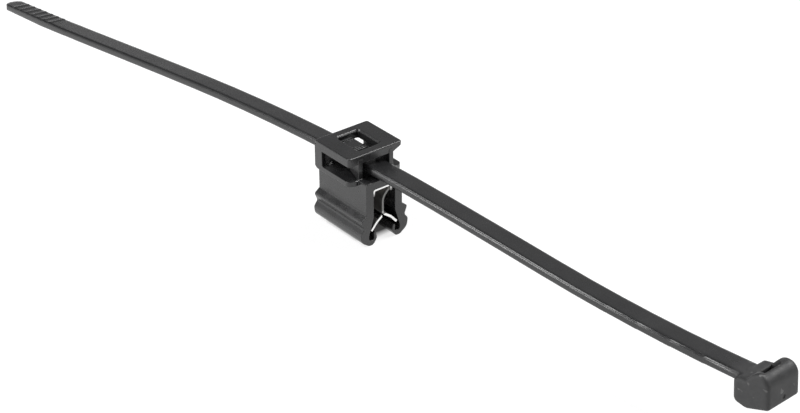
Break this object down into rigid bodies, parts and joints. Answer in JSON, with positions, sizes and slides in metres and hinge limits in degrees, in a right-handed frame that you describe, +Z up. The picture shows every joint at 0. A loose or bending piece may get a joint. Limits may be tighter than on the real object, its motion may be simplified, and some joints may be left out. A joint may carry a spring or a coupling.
{
  "type": "edge clip cable tie",
  "caption": "Cable tie threaded through an edge clip whose sprung slot grips a thin panel edge, for holding a bundle of wires beside it.",
  "frame": {"origin": "middle of the panel slot at the underside of the clip's feet, below the centre of the top plate", "axes": "+X along the strap towards the tie's head, +Z up out of the top plate, +Y across the strap"},
  "size_m": [0.1975, 0.0244, 0.017],
  "materials": {
    "tie_nylon": "black nylon, satin as moulded",
    "clip_nylon": "black nylon, fine matt texture as moulded",
    "spring_steel": "bare spring steel strip with bright sheared edges"
  },
  "bodies": {
    "root": {"cable_tie": "tie_nylon", "clip_body": "clip_nylon", "spring_clip": "spring_steel"}
  },
  "joints": []
}
